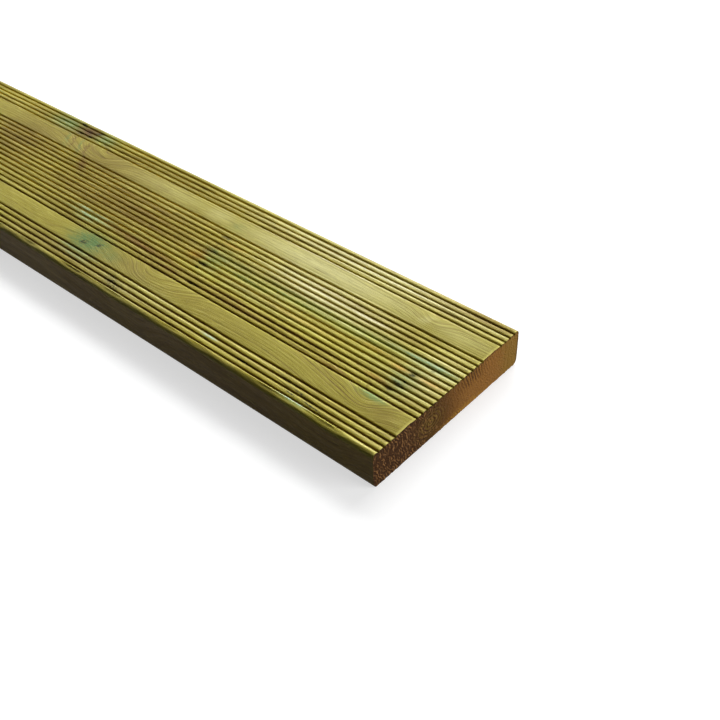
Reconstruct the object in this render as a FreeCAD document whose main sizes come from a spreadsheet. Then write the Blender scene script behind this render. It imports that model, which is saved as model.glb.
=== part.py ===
import FreeCAD, Part
import math
import os
import Sketcher

# A grooved decking board: one length of planed, pressure-treated softwood.
# Its upper face is reeded along the grain, with a flat band near each edge for the screws.
# The underside is planed flat, the long edges are rounded and the ends are sawn square.
# X runs along the board, Y across it and Z up. The origin is in the middle of the underside.

NODE = "deck_board"
SHEET = "Dimensions"

# Alias in the sheet, value (millimetres, or a count) and what it measures
DIMENSIONS = [
    ("board_length", 1800, "sawn length, along the grain"),
    ("board_width", 145, "planed width, over both long edges"),
    ("board_thickness", 28, "underside to the tops of the ridges"),
    ("upper_edge_radius", 2.5, "rounding of the two upper long edges"),
    ("lower_edge_radius", 4, "rounding of the two lower long edges"),
    ("edge_land", 5, "long edge to the centre of the first groove"),
    ("edge_groove_count", 4, "grooves between a long edge and its fixing band"),
    ("fixing_band", 20, "last edge groove to first middle groove, centre to centre"),
    ("groove_pitch", 5, "groove to groove, centre to centre"),
    ("groove_width", 1.8, "across a groove's mouth, before its lips are rounded"),
    ("groove_depth", 2, "top of the ridges to the floor of a groove"),
    ("groove_floor_radius", 0.6, "round floor of a groove"),
    ("groove_lip_radius", 1, "rounding of a groove's two lips, which makes the ridges look like reeds"),
]

# The lips' rounding stays within this share of a groove's depth
LIP_SHARE = 0.75

# Places that fall on the same line to within this are the same place
SAME_PLACE = 0.001

# Where the groups of grooves start across the board, and how many grooves each has.
# A group has a whole number of grooves, and the middle one has as many as its room takes.
EDGE_COUNT = f"round({SHEET}.edge_groove_count)"
EDGE_SPAN = f"({EDGE_COUNT} - 1) * {SHEET}.groove_pitch"
BOARD_SIDE = f"{SHEET}.board_width / 2"
MIDDLE_ROOM = f"({SHEET}.board_width - 2 * ({SHEET}.edge_land + {EDGE_SPAN} + {SHEET}.fixing_band))"
MIDDLE_COUNT = f"(round({MIDDLE_ROOM} / {SHEET}.groove_pitch) + 1)"
GROOVE_GROUPS = [
    ("NearGrooves", f"{SHEET}.edge_land - {BOARD_SIDE}", EDGE_COUNT),
    ("MiddleGrooves", f"-({MIDDLE_COUNT} - 1) * {SHEET}.groove_pitch / 2", MIDDLE_COUNT),
    ("FarGrooves", f"{BOARD_SIDE} - {SHEET}.edge_land - {EDGE_SPAN}", EDGE_COUNT),
]

# The roundings of the upper face, limited by the walls that carry them
RIDGE_HALF = f"({SHEET}.groove_pitch - {SHEET}.groove_width) / 2"
LIP_ROUNDING = f"min({SHEET}.groove_lip_radius; {RIDGE_HALF}; {LIP_SHARE} * {SHEET}.groove_depth)"
EDGE_ROOM = f"{SHEET}.edge_land - {SHEET}.groove_width / 2 - {LIP_ROUNDING}"
UPPER_ROUNDING = f"min({SHEET}.upper_edge_radius; {EDGE_ROOM})"


def write_sheet(doc):
    """Put each driving dimension in a row of the sheet, with its alias."""
    sheet = doc.addObject("Spreadsheet::Sheet", SHEET)
    for row, (alias, value, meaning) in enumerate(DIMENSIONS, start=1):
        sheet.set(f"A{row}", meaning)
        sheet.set(f"B{row}", str(value))
        sheet.setAlias(f"B{row}", alias)
    doc.recompute()
    return sheet


def cross_section_sketch(body, name):
    """An empty sketch across the board: its x is the board's Y, and its y is the board's Z."""
    plane = next(p for p in body.Origin.OriginFeatures if p.Role == "YZ_Plane")
    sketch = body.newObject("Sketcher::SketchObject", name)
    sketch.AttachmentSupport = [(plane, "")]
    sketch.MapMode = "FlatFace"
    return sketch


def bind(sketch, constraint, name, expression):
    """Add a sized constraint to a sketch and tie its size to the sheet."""
    number = sketch.addConstraint(constraint)
    sketch.renameConstraint(number, name)
    sketch.setExpression(f"Constraints.{name}", expression)


def pad_stock(body, sheet):
    """The planed blank: a rectangle across the board, padded to both sides along it."""
    sketch = cross_section_sketch(body, "StockSection")
    side = sheet.board_width / 2
    corners = [
        FreeCAD.Vector(-side, 0),
        FreeCAD.Vector(side, 0),
        FreeCAD.Vector(side, sheet.board_thickness),
        FreeCAD.Vector(-side, sheet.board_thickness),
    ]
    for start, end in zip(corners, corners[1:] + corners[:1]):
        sketch.addGeometry(Part.LineSegment(start, end))
    underside, far_edge, upper_face, near_edge = range(len(corners))
    for line in (underside, far_edge, upper_face, near_edge):
        following = (line + 1) % len(corners)
        sketch.addConstraint(Sketcher.Constraint("Coincident", line, 2, following, 1))
    for line in (underside, upper_face):
        sketch.addConstraint(Sketcher.Constraint("Horizontal", line))
    for line in (far_edge, near_edge):
        sketch.addConstraint(Sketcher.Constraint("Vertical", line))
    sketch.addConstraint(Sketcher.Constraint("Symmetric", underside, 1, underside, 2, -1, 1))
    width = Sketcher.Constraint("DistanceX", underside, 1, underside, 2, sheet.board_width)
    bind(sketch, width, "width", f"{SHEET}.board_width")
    thickness = Sketcher.Constraint("DistanceY", far_edge, 1, far_edge, 2, sheet.board_thickness)
    bind(sketch, thickness, "thickness", f"{SHEET}.board_thickness")

    stock = body.newObject("PartDesign::Pad", "Stock")
    stock.Profile = sketch
    stock.SideType = "Symmetric"
    stock.setExpression("Length", f"{SHEET}.board_length")
    body.Tip = stock
    body.Document.recompute()


def draw_groove(sketch, sheet):
    """A groove's profile about its own centre line: sloping walls, a round floor, mouth at y = 0."""
    half_mouth = sheet.groove_width / 2
    radius = sheet.groove_floor_radius
    nose = FreeCAD.Vector(0, radius - sheet.groove_depth)
    near_mouth = FreeCAD.Vector(-half_mouth, 0)
    far_mouth = FreeCAD.Vector(half_mouth, 0)
    near_floor = nose - FreeCAD.Vector(radius, 0)
    far_floor = nose + FreeCAD.Vector(radius, 0)
    floor_circle = Part.Circle(nose, FreeCAD.Vector(0, 0, 1), radius)

    mouth = sketch.addGeometry(Part.LineSegment(near_mouth, far_mouth))
    far_wall = sketch.addGeometry(Part.LineSegment(far_mouth, far_floor))
    floor = sketch.addGeometry(Part.ArcOfCircle(floor_circle, math.pi, 2 * math.pi))
    near_wall = sketch.addGeometry(Part.LineSegment(near_floor, near_mouth))

    sketch.addConstraint(Sketcher.Constraint("Coincident", mouth, 2, far_wall, 1))
    sketch.addConstraint(Sketcher.Constraint("Tangent", far_wall, 2, floor, 2))
    sketch.addConstraint(Sketcher.Constraint("Tangent", floor, 1, near_wall, 1))
    sketch.addConstraint(Sketcher.Constraint("Coincident", near_wall, 2, mouth, 1))
    sketch.addConstraint(Sketcher.Constraint("Symmetric", mouth, 1, mouth, 2, -1, 1))
    sketch.addConstraint(Sketcher.Constraint("Horizontal", mouth))
    sketch.addConstraint(Sketcher.Constraint("PointOnObject", floor, 3, -2))
    width = Sketcher.Constraint("DistanceX", mouth, 1, mouth, 2, sheet.groove_width)
    bind(sketch, width, "width", f"{SHEET}.groove_width")
    bend = Sketcher.Constraint("Radius", floor, radius)
    bind(sketch, bend, "floor_radius", f"{SHEET}.groove_floor_radius")
    drop = Sketcher.Constraint("DistanceY", floor, 3, -1, 1, sheet.groove_depth - radius)
    bind(sketch, drop, "drop_to_nose", f"{SHEET}.groove_depth - {SHEET}.groove_floor_radius")


def cut_groove_group(body, sheet, name, first, count):
    """Cut one groove along the whole board and repeat it across at the groove pitch."""
    uncut_volume = body.Tip.Shape.Volume
    sketch = cross_section_sketch(body, f"{name}Profile")
    draw_groove(sketch, sheet)
    sketch.setExpression("AttachmentOffset.Base.x", first)
    sketch.setExpression("AttachmentOffset.Base.y", f"{SHEET}.board_thickness")

    groove = body.newObject("PartDesign::Pocket", f"{name}First")
    groove.Profile = sketch
    groove.SideType = "Symmetric"
    groove.setExpression("Length", f"{SHEET}.board_length")

    group = body.newObject("PartDesign::LinearPattern", name)
    group.Originals = [groove]
    group.Direction = (sketch, ["H_Axis"])
    group.Mode = "Spacing"
    group.setExpression("Offset", f"{SHEET}.groove_pitch")
    group.setExpression("Occurrences", count)
    body.Tip = group
    body.Document.recompute()

    removed = (uncut_volume - group.Shape.Volume) / sheet.board_length
    if removed <= 0:
        raise RuntimeError(f"{name} cut nothing")
    print(f"{name}: {group.Occurrences} grooves, {removed / group.Occurrences:.3f} mm2 each")


def round_edges(body, name, radius, wanted):
    """Round the edges along the board whose place across it, (y, z), is wanted."""
    base = body.Tip
    edges = []
    for number, edge in enumerate(base.Shape.Edges, start=1):
        along = abs(edge.tangentAt(edge.FirstParameter).x) > 1 - SAME_PLACE
        place = edge.valueAt(edge.FirstParameter)
        if along and wanted(place.y, place.z):
            edges.append(f"Edge{number}")
    rounding = body.newObject("PartDesign::Fillet", name)
    rounding.Base = (base, edges)
    rounding.setExpression("Radius", radius)
    body.Tip = rounding
    body.Document.recompute()
    return len(edges)


def check(doc, body):
    """Stop if anything in the document failed or the board isn't one sound solid."""
    for item in doc.Objects:
        if {"Invalid", "Error"} & set(item.State):
            raise RuntimeError(f"{item.Name} failed: {item.State}")
    if body.Shape.isNull() or not body.Shape.isValid() or len(body.Shape.Solids) != 1:
        raise RuntimeError("the board isn't one valid solid")


def main():
    doc = FreeCAD.newDocument("DeckBoard")
    sheet = write_sheet(doc)
    body = doc.addObject("PartDesign::Body", "Board")
    body.Label = NODE

    pad_stock(body, sheet)
    for name, first, count in GROOVE_GROUPS:
        cut_groove_group(body, sheet, name, first, count)

    top = sheet.board_thickness
    side = sheet.board_width / 2

    def is_lip(y, z):
        return abs(z - top) < SAME_PLACE and abs(y) < side - SAME_PLACE

    def is_upper_corner(y, z):
        return abs(z - top) < SAME_PLACE and abs(abs(y) - side) < SAME_PLACE

    def is_lower_corner(y, z):
        return abs(z) < SAME_PLACE and abs(abs(y) - side) < SAME_PLACE

    lips = round_edges(body, "GrooveLips", LIP_ROUNDING, is_lip)
    round_edges(body, "UpperEdges", UPPER_ROUNDING, is_upper_corner)
    round_edges(body, "LowerEdges", f"{SHEET}.lower_edge_radius", is_lower_corner)

    check(doc, body)
    box = body.Shape.BoundBox
    print(f"{lips} groove lips rounded")
    print(f"{NODE}: {box.XLength:.2f} x {box.YLength:.2f} x {box.ZLength:.2f} mm")
    os.makedirs("parts", exist_ok=True)
    body.Shape.exportStep(f"parts/{body.Label}.step")


main()
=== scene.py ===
# %% [markdown]
# # A grooved decking board
#
# This lesson dresses one length of planed, pressure-treated softwood. The upper face is reeded
# along the grain, with a flat band near each edge where the screws go. We load the measured
# solid first, and every shape that follows is fitted to its box, so the board keeps its size.

# %% Load the measured solid
import math

import bmesh
import bpy
from mathutils import Matrix, Vector


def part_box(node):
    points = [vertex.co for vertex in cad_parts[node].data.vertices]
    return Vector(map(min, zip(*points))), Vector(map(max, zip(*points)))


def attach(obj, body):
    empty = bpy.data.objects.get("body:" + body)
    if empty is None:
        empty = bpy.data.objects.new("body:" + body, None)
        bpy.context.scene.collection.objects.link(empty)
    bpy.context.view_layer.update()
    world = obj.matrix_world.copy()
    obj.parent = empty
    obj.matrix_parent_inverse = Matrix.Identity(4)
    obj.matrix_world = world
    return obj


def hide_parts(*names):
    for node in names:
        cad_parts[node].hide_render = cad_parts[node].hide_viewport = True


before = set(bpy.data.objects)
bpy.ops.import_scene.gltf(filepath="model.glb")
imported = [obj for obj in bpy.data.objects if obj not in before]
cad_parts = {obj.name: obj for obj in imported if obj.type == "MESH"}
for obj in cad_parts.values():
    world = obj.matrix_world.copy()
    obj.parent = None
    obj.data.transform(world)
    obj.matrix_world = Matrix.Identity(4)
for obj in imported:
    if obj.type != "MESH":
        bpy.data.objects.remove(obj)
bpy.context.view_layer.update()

MM = 0.001
NODE = "deck_board"
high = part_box(NODE)[1]
half_length = high.x
half_width = high.y
top = high.z
print(f"solid: {2 * half_length:.3f} m long, {2 * half_width:.3f} m wide, {top:.3f} m thick")

# %% [markdown]
# ## The camera
#
# The picture looks down along the board from just past one sawn end. A camera can be set by
# turning it until it looks right, but here its three directions are known, so its matrix is
# written straight from them. A lens near 50 mm gives the same narrowing towards the far end.

# %% Aim the camera
CAMERA_PLACE = Vector((1.16145, -0.36212, 0.44096))
LOOK = Vector((-0.51241, 0.55249, -0.65741)).normalized()
SIDEWAYS = Vector((0.75078, 0.65984, -0.03065)).normalized()
LENS_MM = 49.92
upwards = SIDEWAYS.cross(LOOK)
camera_data = bpy.data.cameras.new("camera")
camera_data.lens = LENS_MM
camera = bpy.data.objects.new("camera", camera_data)
bpy.context.scene.collection.objects.link(camera)
turn = Matrix((SIDEWAYS, upwards, -LOOK)).transposed().to_4x4()
camera.matrix_world = Matrix.Translation(CAMERA_PLACE) @ turn
bpy.context.scene.camera = camera
print("camera looks down", round(math.degrees(math.asin(-LOOK.z)), 1), "degrees")

# %% [markdown]
# ## Floor and light
#
# The board lies on a pale floor, a hair above it so that the two faces don't share a plane. One
# long soft lamp stands behind it, so each groove's camera side falls into shade and the reeds
# stand out as light and dark lines. A weak lamp in front of each sawn end keeps that end
# readable. The floor looks white to the camera, and it fades to plain white away from the board.
# What bounces off it is dim, because light from below would flatten the dark near edge.

# %% Lay the floor
FLOOR_SIZE = 12.0
FLOOR_GLOW = 0.62
FLOOR_SHADED_PART = 0.5
FLOOR_BOUNCE = 0.04
FLOOR_FADE = (1.2, 2.4)
FLOOR_DROP = 0.2 * MM
for item in bpy.context.selected_objects:
    item.select_set(False)
bpy.ops.mesh.primitive_plane_add(size=FLOOR_SIZE, location=(0, 0, -FLOOR_DROP))
floor = bpy.context.object
floor.name = "floor"
paper = bpy.data.materials.new("pale_paper")
paper.use_nodes = True
paper_nodes = paper.node_tree.nodes
paper_nodes.clear()
print("floor", FLOOR_SIZE, "m square")


# %% Finish the floor
def floor_node(kind, **values):
    """Add a node to the floor's finish and set its inputs."""
    made = paper_nodes.new(kind)
    for name, value in values.items():
        made.inputs[name].default_value = value
    return made


seen = floor_node("ShaderNodeEmission", Color=(1, 1, 1, 1), Strength=FLOOR_GLOW)
shaded = floor_node("ShaderNodeBsdfDiffuse", Color=(FLOOR_SHADED_PART,) * 3 + (1,))
bounced = floor_node("ShaderNodeBsdfDiffuse", Color=(FLOOR_BOUNCE,) * 3 + (1,))
both = floor_node("ShaderNodeAddShader")
either = floor_node("ShaderNodeMixShader")
ray = floor_node("ShaderNodeLightPath")
straight = floor_node("ShaderNodeMath")
straight_or_clear = floor_node("ShaderNodeMath")
straight_or_clear.use_clamp = True
far_glow = floor_node("ShaderNodeEmission", Color=(1, 1, 1, 1), Strength=1.0)
near_or_far = floor_node("ShaderNodeMixShader")
floor_place = floor_node("ShaderNodeTexCoord")
from_board = floor_node("ShaderNodeVectorMath")
from_board.operation = "LENGTH"
far_off = floor_node("ShaderNodeMapRange")
far_off.interpolation_type = "SMOOTHSTEP"
far_off.inputs["From Min"].default_value = FLOOR_FADE[0]
far_off.inputs["From Max"].default_value = FLOOR_FADE[1]
surface = floor_node("ShaderNodeOutputMaterial")
for start, end in (
    (ray.outputs["Is Camera Ray"], straight.inputs[0]),
    (ray.outputs["Is Glossy Ray"], straight.inputs[1]),
    (straight.outputs[0], straight_or_clear.inputs[0]),
    (ray.outputs["Is Transmission Ray"], straight_or_clear.inputs[1]),
    (seen.outputs[0], both.inputs[0]),
    (shaded.outputs[0], both.inputs[1]),
    (straight_or_clear.outputs[0], either.inputs[0]),
    (bounced.outputs[0], either.inputs[1]),
    (floor_place.outputs["Object"], from_board.inputs[0]),
    (from_board.outputs["Value"], far_off.inputs["Value"]),
    (far_off.outputs["Result"], near_or_far.inputs[0]),
    (both.outputs[0], near_or_far.inputs[1]),
    (far_glow.outputs[0], near_or_far.inputs[2]),
    (near_or_far.outputs[0], either.inputs[2]),
    (either.outputs[0], surface.inputs[0]),
):
    paper.node_tree.links.new(start, end)
floor.data.materials.append(paper)
print(len(paper_nodes), "nodes in the floor's finish")

# %% Light the room
WORLD_LIGHT = 0.06
world = bpy.data.worlds.new("room")
bpy.context.scene.world = world
world.use_nodes = True
sky = world.node_tree.nodes["Background"]
sky.inputs["Color"].default_value = (1, 1, 1, 1)
sky_ray = world.node_tree.nodes.new("ShaderNodeLightPath")
level = world.node_tree.nodes.new("ShaderNodeMapRange")
level.inputs["To Min"].default_value = WORLD_LIGHT
level.inputs["To Max"].default_value = 1.0
world.node_tree.links.new(sky_ray.outputs["Is Camera Ray"], level.inputs["Value"])
world.node_tree.links.new(level.outputs["Result"], sky.inputs["Strength"])
print("room light:", WORLD_LIGHT)


# %% Hang the lamps
def hang_lamp(name, place, aim, size, power):
    """A soft rectangular lamp, turned towards the point it is aimed at."""
    data = bpy.data.lights.new(name, "AREA")
    data.shape = "RECTANGLE"
    data.size, data.size_y = size
    data.energy = power
    lamp = bpy.data.objects.new(name, data)
    lamp.location = place
    lamp.rotation_euler = (Vector(aim) - Vector(place)).to_track_quat("-Z", "Y").to_euler()
    bpy.context.scene.collection.objects.link(lamp)


BACK_LAMP = (0.1, 1.1, 1.2)
BACK_LAMP_AIM = (0.4, 0.0, 0.0)
BACK_LAMP_SIZE = (1.9, 0.7)
BACK_LAMP_WATTS = 44
END_LAMP = (2.2, 0.5, 0.75)
END_LAMP_SIZE = (0.9, 0.9)
END_LAMP_WATTS = 16
hang_lamp("back_lamp", BACK_LAMP, BACK_LAMP_AIM, BACK_LAMP_SIZE, BACK_LAMP_WATTS)
for side in (1, -1):
    lamp_place = (side * END_LAMP[0], END_LAMP[1], END_LAMP[2])
    end_middle = (side * half_length, 0.0, 0.0)
    hang_lamp("end_lamp", lamp_place, end_middle, END_LAMP_SIZE, END_LAMP_WATTS)
bpy.context.scene.view_settings.view_transform = "Standard"

# %% [markdown]
# ## The blank
#
# The planer starts from a square-edged blank, and so do we: a cube at the board's size. Its
# place is applied at once, so that the object stays at the origin and the pattern of the wood
# can be laid out in the board's own millimetres.

# %% Add the blank
bpy.ops.object.select_all(action="DESELECT")
bpy.ops.mesh.primitive_cube_add(size=1, location=(0, 0, top / 2))
board = bpy.context.object
board.name = "reeded_board"
board.data.name = "reeded_board"
board.scale = (2 * half_length, 2 * half_width, top)
bpy.ops.object.transform_apply(location=True, rotation=True, scale=True)
bpy.ops.object.mode_set(mode="EDIT")
print("blank:", tuple(round(side, 4) for side in board.dimensions))

# %% [markdown]
# ## Where the grooves run
#
# The cutters of a moulder stand a fixed pitch apart, with some left out where the flat bands
# stay. Each groove has rounded lips, walls that lean in and a round floor. We only need a few
# lines along each groove: the lip's two ends, its middle, the foot of the wall and the floor.

# %% Lay out the grooves
PITCH = 5 * MM
EDGE_GROOVES = 4
BAND = 20 * MM
MIDDLE_GROOVES = 14
EDGE_LAND = 5 * MM
edge_line = half_width - EDGE_LAND
band_line = edge_line - (EDGE_GROOVES - 1) * PITCH - BAND
near_lines = [-edge_line + k * PITCH for k in range(EDGE_GROOVES)]
middle_lines = [-band_line + k * PITCH for k in range(MIDDLE_GROOVES)]
far_lines = [-y for y in reversed(near_lines)]
groove_lines = near_lines + middle_lines + far_lines
print(len(groove_lines), "grooves")

# %% Work out one groove's section
GROOVE_HALF_MOUTH = 0.9 * MM
GROOVE_DEPTH = 2.0 * MM
FLOOR_RADIUS = 0.6 * MM
LIP_RADIUS = 1.0 * MM
nose_drop = GROOVE_DEPTH - FLOOR_RADIUS
nose_reach = math.hypot(GROOVE_HALF_MOUTH, nose_drop)
wall_lean = math.atan2(GROOVE_HALF_MOUTH, nose_drop) - math.asin(FLOOR_RADIUS / nose_reach)
lip_turn = math.pi / 2 - wall_lean
lip_start = GROOVE_HALF_MOUTH + LIP_RADIUS * math.tan(lip_turn / 2)


def lip_point(share):
    """How far out and how deep a point on the rounded lip is, from its top (0) to the wall (1)."""
    angle = share * lip_turn
    return lip_start - LIP_RADIUS * math.sin(angle), LIP_RADIUS * (1 - math.cos(angle))


wall_foot = (FLOOR_RADIUS * math.cos(wall_lean), nose_drop + FLOOR_RADIUS * math.sin(wall_lean))
LIP_STEPS = (0, 0.35, 0.7, 1)
section = [lip_point(share) for share in LIP_STEPS]
section += [wall_foot, (0.0, GROOVE_DEPTH)]
print("lip starts", round(lip_start / MM, 2), "mm out; walls lean", round(math.degrees(wall_lean), 1))

# %% [markdown]
# ## Cutting the grooves
#
# Grooves could be cut with a boolean, but that leaves a mesh that is hard to work on. Instead
# the blank is sliced lengthwise with the bisect tool at every line of the section, and then the
# new lines on the upper face are pushed down by their depth, all grooves at once.

# %% Slice the blank lengthwise
SAME_PLACE = 0.01 * MM


def slice_all(place, normal):
    """Cut the whole mesh through with a plane."""
    bpy.ops.mesh.select_all(action="SELECT")
    bpy.ops.mesh.bisect(plane_co=place, plane_no=normal)


BAND_CUT = 3 * MM
WIDEST_REED = 1.5 * PITCH
band_middles = (-band_line - BAND / 2, band_line + BAND / 2)
cut_lines = set()
for line in groove_lines:
    for reach, _ in section:
        cut_lines.update((line - reach, line + reach))
for middle in band_middles:
    cut_lines.update((middle - BAND_CUT, middle + BAND_CUT))
neighbours = zip(groove_lines, groove_lines[1:])
reed_middles = [(one + other) / 2 for one, other in neighbours if other - one < WIDEST_REED]
cut_lines.update(reed_middles)
for line in sorted(cut_lines):
    slice_all((0, line, 0), (0, 1, 0))
print(len(cut_lines), "lengthwise cuts")


# %% Push the groove lines down
def select_points(test):
    """Select the corners whose place passes the test, and say how many there are."""
    bpy.ops.mesh.select_mode(type="VERT")
    bpy.ops.mesh.select_all(action="DESELECT")
    work = bmesh.from_edit_mesh(board.data)
    chosen = [point for point in work.verts if test(point.co)]
    for point in chosen:
        point.select = True
    work.select_flush(True)
    bmesh.update_edit_mesh(board.data)
    return len(chosen)


def is_on_line(place, reach):
    """True for a point of the upper face that lies this far out from some groove's centre line."""
    if place.z < top - SAME_PLACE:
        return False
    return min(abs(abs(place.y - line) - reach) for line in groove_lines) < SAME_PLACE


for reach, drop in section[1:]:
    count = select_points(lambda place: is_on_line(place, reach))
    bpy.ops.transform.translate(value=(0, 0, -drop))
    print(f"{count} corners at {reach / MM:.2f} mm pushed down {drop / MM:.2f} mm")

# %% [markdown]
# ## Crowning the reeds
#
# The reeds between the grooves aren't flat: the cutter's corners are worn, so each reed is a
# little lower towards its sides. That is what makes one side of every reed catch the light.
# The flat bands keep their level.

# %% Crown the reeds
CROWN_DROPS = (0.14 * MM, 0.13 * MM, 0.08 * MM)


def is_reed_side(place, reach):
    """True for a point of a reed that lies this far out from the nearest groove's centre line."""
    if place.z < top - GROOVE_DEPTH / 2:
        return False
    from_reed = min(abs(place.y - middle) for middle in reed_middles)
    return abs(from_reed - (PITCH / 2 - reach)) < SAME_PLACE


for (reach, _), drop in zip(section, CROWN_DROPS):
    count = select_points(lambda place: is_reed_side(place, reach))
    bpy.ops.transform.translate(value=(0, 0, -drop))
    print(f"{count} corners of the reeds lowered {drop / MM:.2f} mm")

# %% [markdown]
# ## Rounding the long edges
#
# The planer's knives round all four long edges, a little more below than above. Bevel does the
# same to a selected edge, and a few segments make it look round.

# %% Round the long edges
UPPER_RADIUS = 2.5 * MM
LOWER_RADIUS = 4 * MM
EDGE_STEPS = 5


def select_edges(test):
    """Select the edges whose two ends pass the test, and say how many there are."""
    bpy.ops.mesh.select_mode(type="EDGE")
    bpy.ops.mesh.select_all(action="DESELECT")
    work = bmesh.from_edit_mesh(board.data)
    chosen = [edge for edge in work.edges if test(edge.verts[0].co, edge.verts[1].co)]
    for edge in chosen:
        edge.select = True
    work.select_flush_mode()
    bmesh.update_edit_mesh(board.data)
    return len(chosen)


def runs_along(one, other):
    """True for two points in line along the board."""
    return abs(one.y - other.y) < SAME_PLACE and abs(one.z - other.z) < SAME_PLACE


for level_z, radius in ((top, UPPER_RADIUS), (0, LOWER_RADIUS)):
    count = select_edges(
        lambda one, other: runs_along(one, other)
        and abs(one.z - level_z) < SAME_PLACE
        and abs(abs(one.y) - half_width) < SAME_PLACE
    )
    bpy.ops.mesh.bevel(offset=radius, segments=EDGE_STEPS, affect="EDGES")
    print(count, "edges rounded to", round(radius / MM, 1), "mm")

# %% [markdown]
# ## Rows for wear
#
# So far each strip runs the whole length. Worn lips, torn grain and a rough sawn end need
# corners to move, so the board gets cross rows: close ones on the stretch that shows, wider ones
# on the rest. The planed underside stays one strip across, since nothing happens there.

# %% Slice the ends and sides by height
SIDE_CUTS = (4.6, 9.0, 14.0, 19.0, 23.0, 25.4)
for cut_height in SIDE_CUTS:
    slice_all((0, 0, cut_height * MM), (0, 0, 1))
END_STRIP = 4 * MM
SHOWN_LENGTH = 530 * MM
shown_from = half_length - SHOWN_LENGTH
row_marks = [-half_length + END_STRIP, 0.0, shown_from, half_length - END_STRIP]
for mark in row_marks:
    slice_all((mark, 0, 0), (1, 0, 0))
print("rows marked at", [round(mark, 3) for mark in row_marks])

# %% Join the underside's strips
flat_limit = half_width - LOWER_RADIUS - SAME_PLACE
count = select_edges(
    lambda one, other: runs_along(one, other) and one.z < SAME_PLACE and abs(one.y) < flat_limit
)
bpy.ops.mesh.dissolve_edges(use_verts=True)
print(count, "edges of the underside dissolved")

# %% Add the cross rows
CLOSE_ROWS = 2.6 * MM
WIDE_ROWS = 14 * MM
SAME_CORNER = 0.001 * MM
row_ends = [-half_length] + row_marks + [half_length]
for start, end in zip(row_ends, row_ends[1:]):
    spacing = CLOSE_ROWS if start > shown_from - SAME_PLACE else WIDE_ROWS
    cuts = round((end - start) / spacing) - 1
    if cuts < 1:
        continue
    select_edges(
        lambda one, other: runs_along(one, other)
        and min(one.x, other.x) > start - SAME_PLACE
        and max(one.x, other.x) < end + SAME_PLACE
    )
    bpy.ops.mesh.subdivide(number_cuts=cuts)
    print(f"{cuts} rows between {start:.3f} and {end:.3f} m")
bpy.ops.mesh.select_all(action="SELECT")
bpy.ops.mesh.remove_doubles(threshold=SAME_CORNER)
bpy.ops.mesh.normals_make_consistent(inside=False)
bpy.ops.object.mode_set(mode="OBJECT")
print(sum(len(face.vertices) - 2 for face in board.data.polygons), "triangles")

# %% [markdown]
# ## Where the knots lie
#
# Branches left knots in this board. Two were cut lengthwise by the saw, so each crosses the
# reeds as a row of torn, dark marks, and one lies across the far reeds as an oval. We list the
# marks once, in millimetres from the sawn end and from the centre line, because both the torn
# surface and the dark colour need them. Further along lie a few small ovals of the usual kind.

# %% List the knots
# Place along and across, half the length and half the width
SPIKE_MARKS = [
    (-25, -2.2, 4, 0.8),
    (-26, -5.0, 3, 1.2),
    (-25.5, -12.0, 3, 0.8),
    (-29, -17.0, 5, 1.3),
    (-31, -23.5, 4, 1.2),
    (-18, 5.5, 1.2, 0.8),
    (-227, 26.0, 6, 1.7),
    (-223, 7.6, 5, 1.5),
    (-216, -7.2, 5, 1.6),
    (-220.5, -12.0, 3, 1.0),
    (-205.5, -27.5, 6, 1.2),
    (-306, -44.5, 3.6, 2.4),
    (-293, -40.7, 2.6, 2.6),
    (-447, 57, 5, 2.2),
    (-431, 66, 5, 3.0),
    (-455, 68, 5, 2.0),
    (-434, 57.5, 4, 1.6),
]
OVAL_KNOTS = [
    (-441, 62, 12, 8),
    (-655, -12, 9, 7),
    (-872, 24, 11, 8),
    (-1083, -41, 8, 6),
    (-1292, 12, 12, 9),
    (-1512, -22, 10, 7),
    (-1722, 42, 9, 7),
]
knot_marks = SPIKE_MARKS + OVAL_KNOTS
print(len(SPIKE_MARKS), "torn marks and", len(OVAL_KNOTS), "oval knots")

# %% [markdown]
# ## Wear
#
# A moulder never leaves every reed alike: the knives chatter a little, hard knots tear out, the
# arris gets knocked, and the saw leaves the end rough. Each of these is a Displace modifier that
# works on one vertex group and is applied at once. The reeds may wander a little sideways, and
# everything else only takes wood away, so the board keeps its size.

# %% Weigh the corners that wear
LEAST_WEIGHT = 0.02


def weigh(name, weight_at):
    """Make a vertex group from a weight that depends on a corner's place in millimetres."""
    group = board.vertex_groups.new(name=name)
    count = 0
    for corner in board.data.vertices:
        x = (corner.co.x - half_length) / MM
        y = corner.co.y / MM
        weight = weight_at(x, y, corner.co.z / MM)
        if weight > LEAST_WEIGHT:
            group.add([corner.index], min(weight, 1.0), "REPLACE")
            count += 1
    print(name, "holds", count, "corners")


# %% Choose what wears on the upper face
BAND_MARGIN = 0.1
WORN_DEPTH = 1.7
TORN_DEPTH = 1.6
TORN_MARGIN = 0.6
TORN_REACH = 4
top_mm = top / MM
reed_edge_mm = (half_width - UPPER_RADIUS) / MM
band_inner_mm = (band_line + lip_start) / MM
band_outer_mm = (band_line + BAND - lip_start) / MM


def reed_weight(x, y, z):
    """Reeds and groove walls wear, the flat bands don't."""
    on_band = band_inner_mm + BAND_MARGIN < abs(y) < band_outer_mm - BAND_MARGIN
    if z < top_mm - WORN_DEPTH or on_band or abs(y) > reed_edge_mm:
        return 0.0
    return 1.0


def torn_weight(x, y, z):
    """Wood is torn out where a knot crosses the reeds."""
    if z < top_mm - TORN_DEPTH:
        return 0.0
    nearest = 0.0
    for mark_x, mark_y, long, wide in knot_marks:
        across_share = (y - mark_y) / (wide + TORN_MARGIN)
        along_share = (x - mark_x) / long
        spread = along_share * along_share + across_share * across_share
        if spread < TORN_REACH:
            nearest = max(nearest, math.exp(-spread))
    return nearest


weigh("reeds", reed_weight)
weigh("torn", torn_weight)

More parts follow.
